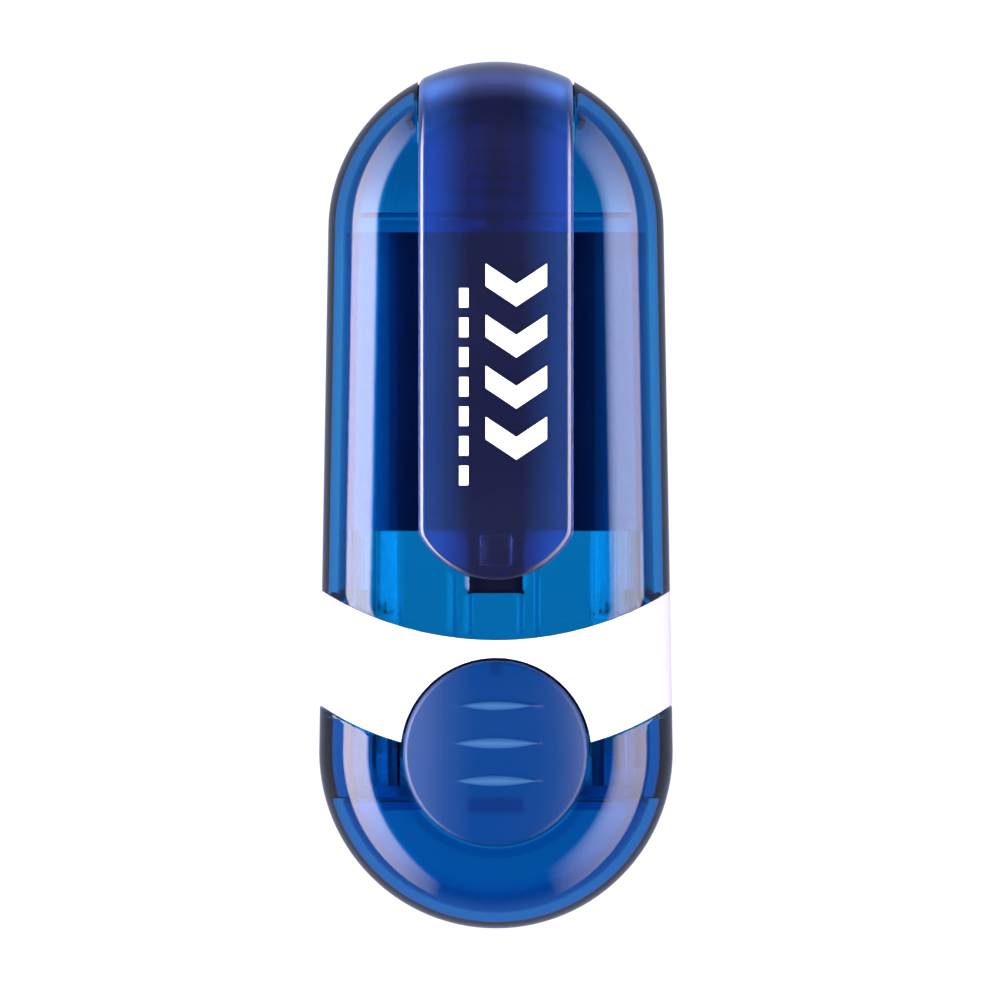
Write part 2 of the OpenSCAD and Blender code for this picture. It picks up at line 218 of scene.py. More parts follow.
def rod_tool(centre, radius, height, sides=128):
    verts = []
    for z in (0, height):
        for i in range(sides):
            a = 2 * math.pi * i / sides
            verts.append((centre[0] + radius * math.cos(a),
                          centre[1] + radius * math.sin(a), centre[2] + z))
    faces = [tuple(range(sides))[::-1], tuple(range(sides, 2 * sides))]
    for i in range(sides):
        j = (i + 1) % sides
        faces.append((i, j, sides + j, sides + i))
    return new_object("tool", verts, faces)


def grid_faces(rows, cols, first=0, wrap=False):
    faces = []
    last = cols if wrap else cols - 1
    for r in range(rows - 1):
        for c in range(last):
            d = (c + 1) % cols
            faces.append((first + r * cols + c, first + r * cols + d,
                          first + (r + 1) * cols + d, first + (r + 1) * cols + c))
    return faces


# The body's form ---------------------------------------------------------------
def half_width(y):
    """Half width of the body at y, along its straight tapered sides."""
    t = (y - BASE_Y) / (DOME_Y - BASE_Y)
    return BASE_R + (DOME_R - BASE_R) * min(max(t, 0), 1)


def profile(width, inset):
    """Right half of a slice, from the front centre round to the back centre, as (x, z)."""
    e = EDGE_R - inset
    cx = width - EDGE_R
    points = [(cx * i / 6, DEPTH - inset) for i in range(6)]
    for i in range(13):
        a = math.pi / 2 * (1 - i / 12)
        points.append((cx + e * math.cos(a), DEPTH - EDGE_R + e * math.sin(a)))
    side = DEPTH - 2 * EDGE_R
    points += [(cx + e, DEPTH - EDGE_R - side * i / 8) for i in range(1, 8)]
    for i in range(13):
        a = -math.pi / 2 * i / 12
        points.append((cx + e * math.cos(a), EDGE_R + e * math.sin(a)))
    points += [(cx * (5 - i) / 6, inset) for i in range(6)]
    return points


def drawn_in(x, flat, y):
    """Where a point of the widest slice lies at y, past the centre of the cap's rounding."""
    drop = BASE_Y - y
    if drop <= 0:
        return x
    if x < flat:
        return x / flat * math.sqrt(flat * flat - drop * drop)
    return math.sqrt(x * x - drop * drop)


def slice_loop(y_of_x, inset):
    """A closed slice whose y follows y_of_x, so that its edge is bowed."""
    right = []
    count = len(profile(BASE_R, inset))
    for k in range(count):
        y = y_of_x(0)
        for _ in range(4):
            width = half_width(y)
            x, z = profile(width, inset)[k]
            x = drawn_in(x, width - EDGE_R, y)
            y = y_of_x(x)
        right.append((x, y, z))
    left = [(-x, y, z) for x, y, z in right[-2:0:-1]]
    return right + left


def straight(level):
    return lambda x: level


def bow(level, grow=0.0):
    """Height of the bowed line that crosses the centre line at level."""
    return lambda x: level + BOW_R - math.sqrt((BOW_R + grow) ** 2 - x * x)


def tube_rows(low, high, steps, inset):
    """Slices from the line low to the line high."""
    rows = []
    for i in range(steps + 1):
        t = i / steps
        rows.append(slice_loop(lambda x: low(x) * (1 - t) + high(x) * t, inset))
    return rows


def end_turns(radius, centre_y, sign, inset, steps=56):
    """Copies of the half slice turned about the vertical, from +X round to -X."""
    half = profile(radius, inset)
    turns = []
    for i in range(steps + 1):
        a = math.pi * i / steps
        turns.append([(x * math.cos(a), centre_y + sign * x * math.sin(a), z) for x, z in half])
    return turns


def skin(inset, low=None, high=None, dome=False, base=False):
    """Vertices and faces of one face of a shell, and the loops at its open edges."""
    verts, faces, rims = [], [], []
    start = low if low else straight(BASE_Y)
    stop = high if high else straight(DOME_Y)
    rows = tube_rows(start, stop, 40 if dome else 14, inset)
    cols = len(rows[0])
    for row in rows:
        verts += row
    faces += grid_faces(len(rows), cols, 0, wrap=True)
    if low:
        rims.append(list(range(cols)))
    if high:
        rims.append(list(range((len(rows) - 1) * cols, len(rows) * cols)))
    for wanted, radius, y, sign in ((dome, DOME_R, DOME_Y, 1), (base, BASE_R, BASE_Y, -1)):
        if wanted:
            turns = end_turns(radius, y, sign, inset)
            first = len(verts)
            for turn in turns:
                verts += turn
            faces += grid_faces(len(turns), len(turns[0]), first)
    return verts, faces, rims


def shell(name, thickness=WALL, inset=0.0, **ends):
    """A closed wall between an outer and an inner skin, joined at the open edges."""
    outer, outer_faces, rims = skin(inset, **ends)
    inner, inner_faces, inner_rims = skin(inset + thickness, **ends)
    shift = len(outer)
    faces = outer_faces + [tuple(shift + v for v in reversed(f)) for f in inner_faces]
    for a, b in zip(rims, inner_rims):
        n = len(a)
        for i in range(n):
            j = (i + 1) % n
            faces.append((a[i], a[j], shift + b[j], shift + b[i]))
    return new_object(name, outer + inner, faces, 50)


# Materials ---------------------------------------------------------------------
def material(name):
    mat = bpy.data.materials.new(name)
    mat.use_nodes = True
    nodes = mat.node_tree.nodes
    return mat, nodes, mat.node_tree.links, nodes["Principled BSDF"], nodes["Material Output"]


def object_noise(nodes, links, scale, detail=3.0):
    coords = nodes.new("ShaderNodeTexCoord")
    noise = nodes.new("ShaderNodeTexNoise")
    noise.inputs["Scale"].default_value = scale
    noise.inputs["Detail"].default_value = detail
    links.new(coords.outputs["Object"], noise.inputs["Vector"])
    return noise


def add_bump(nodes, links, shader, height, strength, distance):
    bump = nodes.new("ShaderNodeBump")
    bump.inputs["Strength"].default_value = strength
    bump.inputs["Distance"].default_value = distance
    links.new(height, bump.inputs["Height"])
    links.new(bump.outputs["Normal"], shader.inputs["Normal"])


def ramp(nodes, links, source, low, high, start=0.3, end=0.7):
    node = nodes.new("ShaderNodeValToRGB")
    node.color_ramp.elements[0].color = (*low, 1)
    node.color_ramp.elements[0].position = start
    node.color_ramp.elements[1].color = (*high, 1)
    node.color_ramp.elements[1].position = end
    links.new(source, node.inputs["Fac"])
    return node


def one_axis(nodes, links, vector, axis):
    split = nodes.new("ShaderNodeSeparateXYZ")
    links.new(vector, split.inputs["Vector"])
    return split.outputs[axis]


def without_sign(nodes, links, value):
    size = nodes.new("ShaderNodeMath")
    size.operation = "ABSOLUTE"
    links.new(value, size.inputs[0])
    return size.outputs["Value"]


def object_axis(nodes, links, axis):
    """Distance along one axis of the object, in metres."""
    return one_axis(nodes, links, nodes.new("ShaderNodeTexCoord").outputs["Object"], axis)


def off_middle(nodes, links):
    """Distance from the middle of the object towards either side, in metres."""
    return without_sign(nodes, links, object_axis(nodes, links, "X"))


def facing_front(nodes, links):
    """1 where the surface faces front or back, 0 where it faces a side."""
    normal = nodes.new("ShaderNodeTexCoord").outputs["Normal"]
    return without_sign(nodes, links, one_axis(nodes, links, normal, "Z"))


def tones_along(nodes, links, source, stops):
    """Colours that change smoothly with source; stops are (value, colour)."""
    first, last = stops[0][0], stops[-1][0]
    scale = nodes.new("ShaderNodeMapRange")
    scale.inputs["From Min"].default_value = first
    scale.inputs["From Max"].default_value = last
    links.new(source, scale.inputs["Value"])
    node = nodes.new("ShaderNodeValToRGB")
    elements = node.color_ramp.elements
    while len(elements) < len(stops):
        elements.new(0.5)
    for element, (value, colour) in zip(elements, stops):
        element.position = (value - first) / (last - first)
        element.color = (*colour, 1)
    links.new(scale.outputs["Result"], node.inputs["Fac"])
    return node.outputs["Color"]


def mixed(nodes, links, a, b, blend="MULTIPLY"):
    """Two colours put together, by multiplying them if nothing else is asked for."""
    mix = nodes.new("ShaderNodeMix")
    mix.data_type = "RGBA"
    mix.blend_type = blend
    mix.inputs["Factor"].default_value = 1.0
    links.new(a, mix.inputs["A"])
    links.new(b, mix.inputs["B"])
    return mix.outputs["Result"]


def clear_plastic(name, tint, density, base=(1, 1, 1), see_through=1.0, rough=0.03, wave=0.00002):
    """Polished see-through plastic: clear surface, colour from its depth."""
    mat, nodes, links, shader, output = material(name)
    noise = object_noise(nodes, links, 60, 1.0)
    shader.inputs["Base Color"].default_value = (*base, 1)
    shader.inputs["Transmission Weight"].default_value = see_through
    shader.inputs["IOR"].default_value = 1.46
    low, high = rough * 0.8, rough * 1.2
    tones = ramp(nodes, links, noise.outputs["Fac"], (low,) * 3, (high,) * 3)
    links.new(tones.outputs["Color"], shader.inputs["Roughness"])
    add_bump(nodes, links, shader, noise.outputs["Fac"], 0.06, wave)
    volume = nodes.new("ShaderNodeVolumeAbsorption")
    volume.inputs["Color"].default_value = (*tint, 1)
    volume.inputs["Density"].default_value = density
    links.new(volume.outputs["Volume"], output.inputs["Volume"])
    return mat


def moulded(name, low, high, rough=0.4, grain=900, depth=0.00001, gloss=0.5):
    """Opaque moulded plastic with a fine grain."""
    mat, nodes, links, shader, _ = material(name)
    noise = object_noise(nodes, links, grain)
    tones = ramp(nodes, links, noise.outputs["Fac"], low, high)
    links.new(tones.outputs["Color"], shader.inputs["Base Color"])
    shader.inputs["Roughness"].default_value = rough
    shader.inputs["Specular IOR Level"].default_value = gloss
    add_bump(nodes, links, shader, noise.outputs["Fac"], 0.3, depth)
    return mat


def body_plastic(name):
    """The shells' blue, with painted shade: darker towards both ends, and where the wall turns to
    face a side.
    """
    mat = clear_plastic(name, (0.0, 0.765, 0.913), 1400)
    nodes, links = mat.node_tree.nodes, mat.node_tree.links
    # painted shade: the blue darkens towards both ends of the body
    along = tones_along(nodes, links, object_axis(nodes, links, "Y"), (
        (-0.0300, (0.22, 0.49, 0.76)), (-0.0200, (0.25, 0.65, 0.82)),
        (0.0220, (0.25, 0.74, 0.89)), (0.0320, (0.2, 0.50, 0.70))))
    # painted shade: greyer and darker where the wall turns to face a side
    painted_side_shade = tones_along(nodes, links, facing_front(nodes, links), (
        (0.0, (0.55, 0.7, 0.82)), (0.5, (0.85, 0.9, 0.93)), (0.75, (1, 1, 1))))
    links.new(mixed(nodes, links, along, painted_side_shade), nodes["Principled BSDF"].inputs["Base Color"])
    return mat


def soft_patch(nodes, links, middle, half, colour):
    """White, turning to colour over a soft-edged rectangle given in millimetres."""
    fade = 0.35
    both = nodes.new("ShaderNodeMath")
    both.operation = "MULTIPLY"
    for i in range(2):
        off = nodes.new("ShaderNodeMath")
        off.operation = "SUBTRACT"
        off.inputs[1].default_value = middle[i] * MM
        links.new(object_axis(nodes, links, "XY"[i]), off.inputs[0])
        near = nodes.new("ShaderNodeMapRange")
        near.interpolation_type = "SMOOTHSTEP"
        near.inputs["From Min"].default_value = (half[i] + fade) * MM
        near.inputs["From Max"].default_value = (half[i] - fade) * MM
        links.new(without_sign(nodes, links, off.outputs["Value"]), near.inputs["Value"])
        links.new(near.outputs["Result"], both.inputs[i])
    tones = ramp(nodes, links, both.outputs["Value"], (1, 1, 1), colour, 0.0, 1.0)
    return tones.outputs["Color"]


def button_plastic(name):
    """The button's milky blue, with painted highlights on its rib tops and towards its left and
    right sides, and painted shade over the lever's ends.
    """
    mat = clear_plastic(name, (0.0, 0.72, 0.89), 300, see_through=0.45, rough=0.2)
    nodes, links = mat.node_tree.nodes, mat.node_tree.links
    nodes["Principled BSDF"].inputs["Specular IOR Level"].default_value = 0.16
    blue = (0.001, 0.036, 0.165)
    # painted highlight: the rib tops are paler than the rest of the face
    tones = tones_along(nodes, links, object_axis(nodes, links, "Z"), (
        (0.0320, blue), (0.03372, blue),
        (0.03384, (0.03, 0.11, 0.29)), (0.0340, (0.04, 0.14, 0.33))))
    # painted shade: darker patches over the lever's ends behind the button
    painted_boss_shade = soft_patch(nodes, links, (0, -30.4), (2.7, 0.75), (1.3, 0.62, 0.8))
    painted_catch_shade = soft_patch(nodes, links, (0, -16.9), (0.5, 0.9), (0.8, 0.72, 0.8))
    # painted sheen: paler towards the left and right sides of the face
    painted_sheen = tones_along(nodes, links, object_axis(nodes, links, "X"), (
        (-0.0088, (0.036, 0.079, 0.228)), (-0.0070, (0.028, 0.069, 0.212)),
        (-0.0050, (0.011, 0.048, 0.182)), (-0.0022, blue),
        (0.0050, blue), (0.0088, (0.004, 0.04, 0.17))))
    tones = mixed(nodes, links, tones, painted_sheen, "LIGHTEN")
    marked = mixed(nodes, links, mixed(nodes, links, tones, painted_boss_shade), painted_catch_shade)
    links.new(marked, nodes["Principled BSDF"].inputs["Base Color"])
    return mat


def navy_with_painted_sides(name):
    """The inner sleeve's navy, with painted light making it paler towards its sides; darker in a
    narrow strip down its middle.
    """
    mat = moulded(name, (0.003, 0.004, 0.022), (0.003, 0.005, 0.026), rough=0.3, gloss=0.15)
    nodes, links = mat.node_tree.nodes, mat.node_tree.links
    # painted light: paler towards the sides; darker in a narrow strip down the middle
    tones = tones_along(nodes, links, off_middle(nodes, links), (
        (0.0028, (0.002, 0.0025, 0.016)), (0.0032, (0.008, 0.016, 0.054)),
        (0.0078, (0.008, 0.019, 0.06)), (0.0096, (0.008, 0.032, 0.095)),
        (0.0112, (0.012, 0.088, 0.22)), (0.0135, (0.012, 0.14, 0.3))))
    links.new(tones, nodes["Principled BSDF"].inputs["Base Color"])
    return mat


def clip_plastic(name):
    """The clip's dark see-through navy, with painted light making it paler towards its two sides.
    """
    mat = clear_plastic(name, (1, 1, 1), 0.0, see_through=0.95, rough=0.2)
    nodes, links = mat.node_tree.nodes, mat.node_tree.links
    shader = nodes["Principled BSDF"]
    shader.inputs["Specular IOR Level"].default_value = 0.15
    shader.inputs["Coat Weight"].default_value = 0.8
    shader.inputs["Coat Roughness"].default_value = 0.03
    # painted light: paler towards the two sides, darker again at the very edge
    tones = tones_along(nodes, links, off_middle(nodes, links), (
        (0.0026, (0.042, 0.068, 0.3)), (0.0062, (0.07, 0.26, 0.9)),
        (0.0070, (0.07, 0.27, 0.93)), (0.0076, (0.05, 0.12, 0.45))))
    links.new(tones, shader.inputs["Base Color"])
    return mat


def band_plastic(name):
    """The band's white, with painted shade: a little greyer where its sides turn away."""
    mat = moulded(name, (0.68, 0.69, 0.73), (0.72, 0.72, 0.76), rough=0.35)
    nodes, links = mat.node_tree.nodes, mat.node_tree.links
    shader = nodes["Principled BSDF"]
    grain = shader.inputs["Base Color"].links[0].from_socket
    # painted shade: greyer where the sides turn away from the front
    painted_side_shade = tones_along(nodes, links, facing_front(nodes, links), (
        (0.0, (0.6, 0.63, 0.72)), (0.6, (0.66, 0.67, 0.75)),
        (0.9, (0.74, 0.74, 0.8)), (0.99, (1, 1, 1))))
    links.new(mixed(nodes, links, grain, painted_side_shade), shader.inputs["Base Color"])
    return mat


def brushed_metal(name, colour):
    mat, nodes, links, shader, _ = material(name)
    noise = object_noise(nodes, links, 2500, 2.0)
    tones = ramp(nodes, links, noise.outputs["Fac"], tuple(c * 0.8 for c in colour), colour)
    links.new(tones.outputs["Color"], shader.inputs["Base Color"])
    shader.inputs["Metallic"].default_value = 1.0
    shader.inputs["Roughness"].default_value = 0.28
    return mat


def paint(node, mat):
    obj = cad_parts[node]
    obj.data.materials.clear()
    obj.data.materials.append(mat)
    smooth(obj, 30)


shell_mat = body_plastic("shell_blue")
frame_mat = clear_plastic("frame_blue", (0.3, 0.85, 0.95), 160, rough=0.05)
foot_mat = clear_plastic("foot_rubber", (0.3, 0.7, 0.88), 500, base=(0.5, 0.7, 0.9),
                         see_through=0.9, rough=0.2)
lock_mat = clear_plastic("lock_blue", (0.3, 0.86, 0.95), 130, rough=0.05)
button_mat = button_plastic("button_blue")
clip_mat = clip_plastic("clip_navy")
band_mat = band_plastic("band_white")
navy_mat = moulded("inner_navy", (0.003, 0.004, 0.022), (0.004, 0.006, 0.03), rough=0.3, gloss=0.2)
runner_mat = moulded("runner_navy", (0.008, 0.012, 0.06), (0.01, 0.016, 0.07), rough=0.35,
                     gloss=0.3)
sleeve_mat = navy_with_painted_sides("sleeve_navy")
plate_mat = moulded("plate_rubber", (0.55, 0.42, 0.3), (0.66, 0.5, 0.36), rough=0.5)
carrier_mat = moulded("carrier_grey", (0.42, 0.44, 0.5), (0.5, 0.52, 0.58), rough=0.4)
cassette_mat = moulded("cassette_grey", (0.02, 0.022, 0.03), (0.03, 0.033, 0.045), rough=0.45)
felt_mat = moulded("ink_felt", (0.008, 0.01, 0.06), (0.02, 0.025, 0.12), rough=0.9,
                   grain=3000, depth=0.00005)
foam_mat = moulded("foam_white", (0.6, 0.6, 0.55), (0.75, 0.75, 0.7), rough=0.85,
                   grain=2500, depth=0.00005)
steel_mat = brushed_metal("spring_steel", (0.6, 0.61, 0.64))
print_mat = moulded("print_white", (0.9, 0.9, 0.92), (0.95, 0.95, 0.96), rough=0.5)


# Outer pieces --------------------------------------------------------------------
def finish_piece(obj, mat, slot_name, body, *nodes):
    obj.data.materials.clear()
    obj.data.materials.append(mat)
    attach(obj, body)
    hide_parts(*nodes)
    return obj


def make_handle():
    obj = shell("handle_shell_skin", low=bow(BAND_TOP), dome=True)
    inner = DEPTH - WALL
    ribs = []
    for x, high in GUIDES:
        for side in (-x, x):
            ribs.append(box_tool((side - GUIDE_W / 2, GUIDE_LOW, inner - GUIDE_H),
                                 (side + GUIDE_W / 2, high, inner + SINK)))
    ribs.append(box_tool((-CROSS_HALF, CROSS_Y, inner - CROSS_H),
                         (CROSS_HALF, CROSS_Y + GUIDE_W, inner + SINK)))
    cut(obj, ribs, "UNION")
    half = clip_hi.x + CLIP_PLAY
    notch = box_tool((-half, DOME_Y, clip_lo.z - ROOT_PLAY), (half, BIG, BIG))
    cut(notch, [rod_tool((0, DOME_Y, 0), NOTCH_R, 2 * BIG)])
    slot = box_tool((-SLOT_HALF, SLOT_Y, DEPTH - 2 * WALL), (SLOT_HALF, SLOT_Y + SLOT_L, BIG))
    cut(obj, [notch, slot])
    soften(obj, 0.12 * MM)
    return finish_piece(obj, shell_mat, "shell_blue", "handle", "handle_shell")


def make_band():
    obj = shell("grip_band_skin", low=bow(BAND_LOW), high=bow(BAND_TOP, 0.05 * MM))
    hole = rod_tool((0, BUTTON_Y, DEPTH / 2), BUTTON_R + BUTTON_PLAY, DEPTH)
    cut(obj, [hole])
    soften(obj, 0.1 * MM)
    return finish_piece(obj, band_mat, "band_white", "handle", "grip_band")


def make_cap():
    """The cap's wall, the collar that plugs into the band, and the button's hollow."""
    obj = shell("end_cap_skin", high=straight(BAND_LOW + PLUG_L), base=True)
    cut(obj, [rod_tool((0, MOUTH_Y, -MM), BOW_R + SEAM, BIG, 512)])
    liner = shell("liner", LINER_T, WALL - LAP, low=straight(cap_foot + LAP),
                  high=bow(BAND_LOW, SEAM + LAP / 2))
    collar = shell("collar", COLLAR_T, WALL + 2 * LAP, low=straight(cap_foot),
                   high=straight(cap_hi.y))
    well = rod_tool((0, BUTTON_Y, FLOOR_Z - OFF), FLOOR_R, FLOOR_T + OFF)
    rim = rod_tool((0, BUTTON_Y, FLOOR_Z + FLOOR_T / 2), FLOOR_R - 0.02 * MM,
                   DEPTH - WALL - LAP - FLOOR_Z)
    cut(rim, [rod_tool((0, MOUTH_Y, 0), BOW_R + SEAM + 0.04 * MM, DEPTH, 512)])
    ears = [box_tool((x, EAR_Y[0], FLOOR_Z - EAR_HALF_H),
                     (x + EAR_W, EAR_Y[1], FLOOR_Z + EAR_HALF_H))
            for x in (-EAR_IN - EAR_W, EAR_IN)]
    cut(obj, [liner, collar, well, rim] + ears, "UNION")
    opening = box_tool((-EAR_IN, OPENING_Y[0], FLOOR_Z - 3 * MM),
                       (EAR_IN, OPENING_Y[1], DEPTH - WALL / 2))
    recess = rod_tool((0, BUTTON_Y, FLOOR_Z + FLOOR_T), BUTTON_R + BUTTON_PLAY, BIG)
    cut(obj, [opening, recess])
    soften(obj, 0.1 * MM)
    return finish_piece(obj, shell_mat, "shell_blue", "cap", "end_cap")


def rib_height(x, y):
    """How far the lens-shaped grip ribs stand out of the button at x, y."""
    for i in range(3):
        taper = 1 - (x / RIB_HALF) ** 2
        off = abs(y - BUTTON_Y - RIB_UP - RIB_STEP * (1 - i))
        if taper > 0 and off < RIB_W * taper:
            return RIB_H * taper * math.cos(math.pi / 2 * off / (RIB_W * taper)) ** 2
    return 0.0


def crown(r):
    """Height of the button's face at r from its middle: flat, then falling to its rim."""
    return DISC_TOP - CROWN * (r / BUTTON_R) ** 3


def make_button():
    """A turned disc with a soft rim, and lens-shaped grip ribs standing out of it."""
    low = disc_lo.z
    flat_r = BUTTON_R - ROUND_R
    shoulder = crown(flat_r) - ROUND_R
    foot = 0.1 * MM
    outline = [(0, low), (BUTTON_R - foot, low), (BUTTON_R, low + foot), (BUTTON_R, shoulder)]
    outline += [(flat_r + ROUND_R * math.cos(a), shoulder + ROUND_R * math.sin(a))
                for a in (math.pi / 2 * i / 8 for i in range(1, 9))]
    rings = 90
    outline += [(r, crown(r)) for r in (flat_r * (1 - i / rings) for i in range(1, rings + 1))]
    sides = 240
    verts = []
    for r, z in outline:
        for i in range(sides):
            a = 2 * math.pi * i / sides
            x, y = r * math.cos(a), BUTTON_Y + r * math.sin(a)
            verts.append((x, y, z + (rib_height(x, y) if z > shoulder else 0)))
    obj = new_object("button_disc_skin", verts, grid_faces(len(outline), sides, 0, wrap=True), 40)
    smooth(obj, 50)
    return finish_piece(obj, button_mat, "button_blue", "button", "button_disc")


def tip_outline(x):
    """The clip's free end at x: bowed, with a rounded corner at each side."""
    if abs(x) <= CORNER_X * TIP_BOW / (TIP_BOW - TIP_CORNER):
        return BOW_Y - math.sqrt(TIP_BOW ** 2 - x * x)
    return CORNER_Y - math.sqrt(max(TIP_CORNER ** 2 - (abs(x) - CORNER_X) ** 2, 0))


def inside_clip(x, y):
    """How far a point of the clip's flat part lies inside its outline."""
    if y >= max(CORNER_Y, BOW_Y):
        return clip_hi.x - abs(x)
    if y < CORNER_Y and abs(x) * (BOW_Y - CORNER_Y) > CORNER_X * (BOW_Y - y):
        return TIP_CORNER - math.hypot(abs(x) - CORNER_X, y - CORNER_Y)
    return min(clip_hi.x - abs(x), TIP_BOW - math.hypot(x, y - BOW_Y))


def rounded(inside):
    """How far the rounded edge drops this far inside the outline."""
    gap = max(CLIP_EDGE - max(inside, 0), 0)
    return CLIP_EDGE - math.sqrt(CLIP_EDGE ** 2 - gap ** 2)


def bend_start(x):
    """Where the clip's flat part ends at x, so that its bend follows the dome's outline."""
    return DOME_Y + math.sqrt(DOME_R ** 2 - x * x) - BEND_R


def bend_point(x, s, depth):
    """A point of the clip at x, s along it past the bend's start, depth under its face."""
    a = min(s / BEND_R, math.pi / 2)
    z = clip_hi.z - BEND_R + (BEND_R - depth) * math.cos(a) - max(s - BEND_R * math.pi / 2, 0)
    return (x, bend_start(x) + (BEND_R - depth) * math.sin(a), z)


def make_clip():
    """A sprung strip, flat along the body and bent over the dome, with rounded edges."""
    half = clip_hi.x
    cols, flat_rows, bend_rows = 49, 48, 30
    columns = [half * math.sin(math.pi / 2 * (-1 + 2 * i / (cols - 1))) for i in range(cols)]
    verts = []
    for i in range(flat_rows + 1):
        t = (i / flat_rows) ** 1.9
        top, low = [], []
        for x in columns:
            y = tip_outline(x) * (1 - t) + bend_start(x) * t
            drop = rounded(inside_clip(x, y)) if i else CLIP_EDGE
            top.append((x, y, clip_hi.z - drop))
            low.append((x, y, clip_hi.z - CLIP_T + drop))
        verts += top + low[::-1]
    length = BEND_R * math.pi / 2 + clip_hi.z - BEND_R - clip_lo.z
    for i in range(1, bend_rows + 1):
        s = length * i / bend_rows
        drops = [rounded(half - abs(x)) for x in columns]
        verts += [bend_point(x, s, d) for x, d in zip(columns, drops)]
        verts += [bend_point(x, s, CLIP_T - d) for x, d in zip(columns, drops)][::-1]
    count, rows = 2 * cols, flat_rows + bend_rows + 1
    faces = grid_faces(rows, count, 0, wrap=True)
    for first in (0, (rows - 1) * count):
        for c in range(cols - 1):
            faces.append((first + c, first + c + 1, first + count - 2 - c, first + count - 1 - c))
    obj = new_object("pocket_clip_skin", verts, faces, 50)
    nub_half = 1.6 * MM
    nub = box_tool((-nub_half, clip_lo.y + 1.4 * MM, DEPTH + 0.3 * MM),
                   (nub_half, clip_lo.y + 4.4 * MM, DEPTH + 1.2 * MM))
    soften(nub, 0.3 * MM, 3)
    bead_r, bead_y, bead_half = 0.9 * MM, 40.3 * MM, half - 1.1 * MM
    bead = rod_tool((0, 0, -bead_half), bead_r, 2 * bead_half, 32)
    bead.data.transform(Matrix.Translation((0, bead_y, clip_lo.z + bead_r))
                        @ Matrix.Rotation(math.pi / 2, 4, "Y"))
    cut(obj, [nub, bead], "UNION")
    smooth(obj, 40)
    return finish_piece(obj, clip_mat, "clip_navy", "clip", "pocket_clip")


def make_spring():
    """The return spring: round wire with closed ends, drawn at one length; in the stamp the frame
    squeezes it as it moves.
    """
    low, high = spring_lo.y + WIRE_R, spring_hi.y - WIRE_R
    per_turn, sides, turns = 32, 12, 9
    verts = []
    rings = per_turn * turns
    for i in range(rings + 1):
        turn = 2 * math.pi * i / per_turn
        t = i / rings
        for k in range(sides):
            a = 2 * math.pi * k / sides
            out = SPRING_R + WIRE_R * math.cos(a)
            verts.append((out * math.cos(turn), low + (high - low) * t + WIRE_R * math.sin(a),
                          DEPTH / 2 + out * math.sin(turn)))
    faces = grid_faces(rings + 1, sides, 0, wrap=True)
    faces += [tuple(range(sides))[::-1], tuple(range(rings * sides, (rings + 1) * sides))]
    obj = new_object("return_spring_wire", verts, faces, 60)
    obj.data.materials.append(steel_mat)
    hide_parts("return_spring")
    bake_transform(obj)
    return obj


def lathe(name, outline, sides=128):
    """A closed form turned about the body's long axis; outline is (radius, y) points."""
    verts = []
    for r, y in outline:
        for i in range(sides):
            a = 2 * math.pi * i / sides
            verts.append((r * math.cos(a), y, DEPTH / 2 + r * math.sin(a)))
    return new_object(name, verts, grid_faces(len(outline), sides, wrap=True), 50)


def cushion_outline(lo, hi, edge, swell, pull):
    """A pad's outline: crowned faces, rounded edges, and a side that pulls in between them."""
    radius = hi.x
    low, high = lo.y, hi.y
    flat = radius - edge
    points = [(flat * i / 12, low + swell * (i / 12) ** 2) for i in range(13)]
    shoulder = low + swell + edge
    points += [(flat + edge * math.sin(a), shoulder - edge * math.cos(a))
               for a in (math.pi / 2 * i / 6 for i in range(1, 7))]
    top = high - edge
    points += [(radius - pull * math.sin(math.pi * t), shoulder + (top - shoulder) * t)
               for t in (i / 8 for i in range(1, 8))]
    points += [(flat + edge * math.cos(a), top + edge * math.sin(a))
               for a in (math.pi / 2 * i / 6 for i in range(7))]
    points += [(flat * (11 - i) / 12, high) for i in range(12)]
    return points


def make_ink_pad():
    """A felt pad, crowned towards the plate, with the rings its press leaves."""
    lo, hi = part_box("ink_pad")
    ring_depth, ring_pitch, face_h = 0.06 * MM, 2.417 * MM, 0.35 * MM
    outline = []
    for r, y in cushion_outline(lo, hi, 0.6 * MM, 0.3 * MM, 0.15 * MM):
        wave = ring_depth * (1 + math.cos(2 * math.pi * r / ring_pitch))
        outline.append((r, y + wave if y < lo.y + face_h else y))
    obj = lathe("ink_pad_felt", outline)
    finish_piece(obj, felt_mat, "ink_felt", "frame", "ink_pad")


def make_foam():
    """The foam layer behind the printing plate, squeezed in a little at its edge."""
    lo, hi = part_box("foam_cushion")
    obj = lathe("foam_cushion_disc", cushion_outline(lo, hi, 0.25 * MM, 0.0, 0.12 * MM))
    finish_piece(obj, foam_mat, "foam_white", "carrier", "foam_cushion")


def make_leaves():
    """Two arched spring leaves, narrower at their feet, drawn arched; in the stamp they flatten
    under the button.
    """
    lo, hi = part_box("button_spring")
    middle_y, half = (lo.y + hi.y) / 2, (hi.y - lo.y) / 2
    thick, width, narrowing = 0.2 * MM, 2 * MM, 0.25 * MM
    count = 24
    verts, faces = [], []
    for x0, x1 in ((lo.x, lo.x + width), (hi.x - width, hi.x)):
        first = len(verts)
        for i in range(count + 1):
            t = 2 * i / count - 1
            y, top = middle_y + half * t, lo.z + thick + (hi.z - lo.z - thick) * (1 - t * t)
            taper = narrowing * t * t
            verts += [(x0 + taper, y, top), (x1 - taper, y, top),
                      (x1 - taper, y, top - thick), (x0 + taper, y, top - thick)]
        faces += grid_faces(count + 1, 4, first, wrap=True)
        faces += [(first + 3, first + 2, first + 1, first),
                  tuple(first + 4 * count + k for k in range(4))]
    obj = new_object("button_spring_leaves", verts, faces, 40)
    soften(obj, 0.04 * MM)
    finish_piece(obj, steel_mat, "spring_steel", "cap", "button_spring")
    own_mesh(obj)


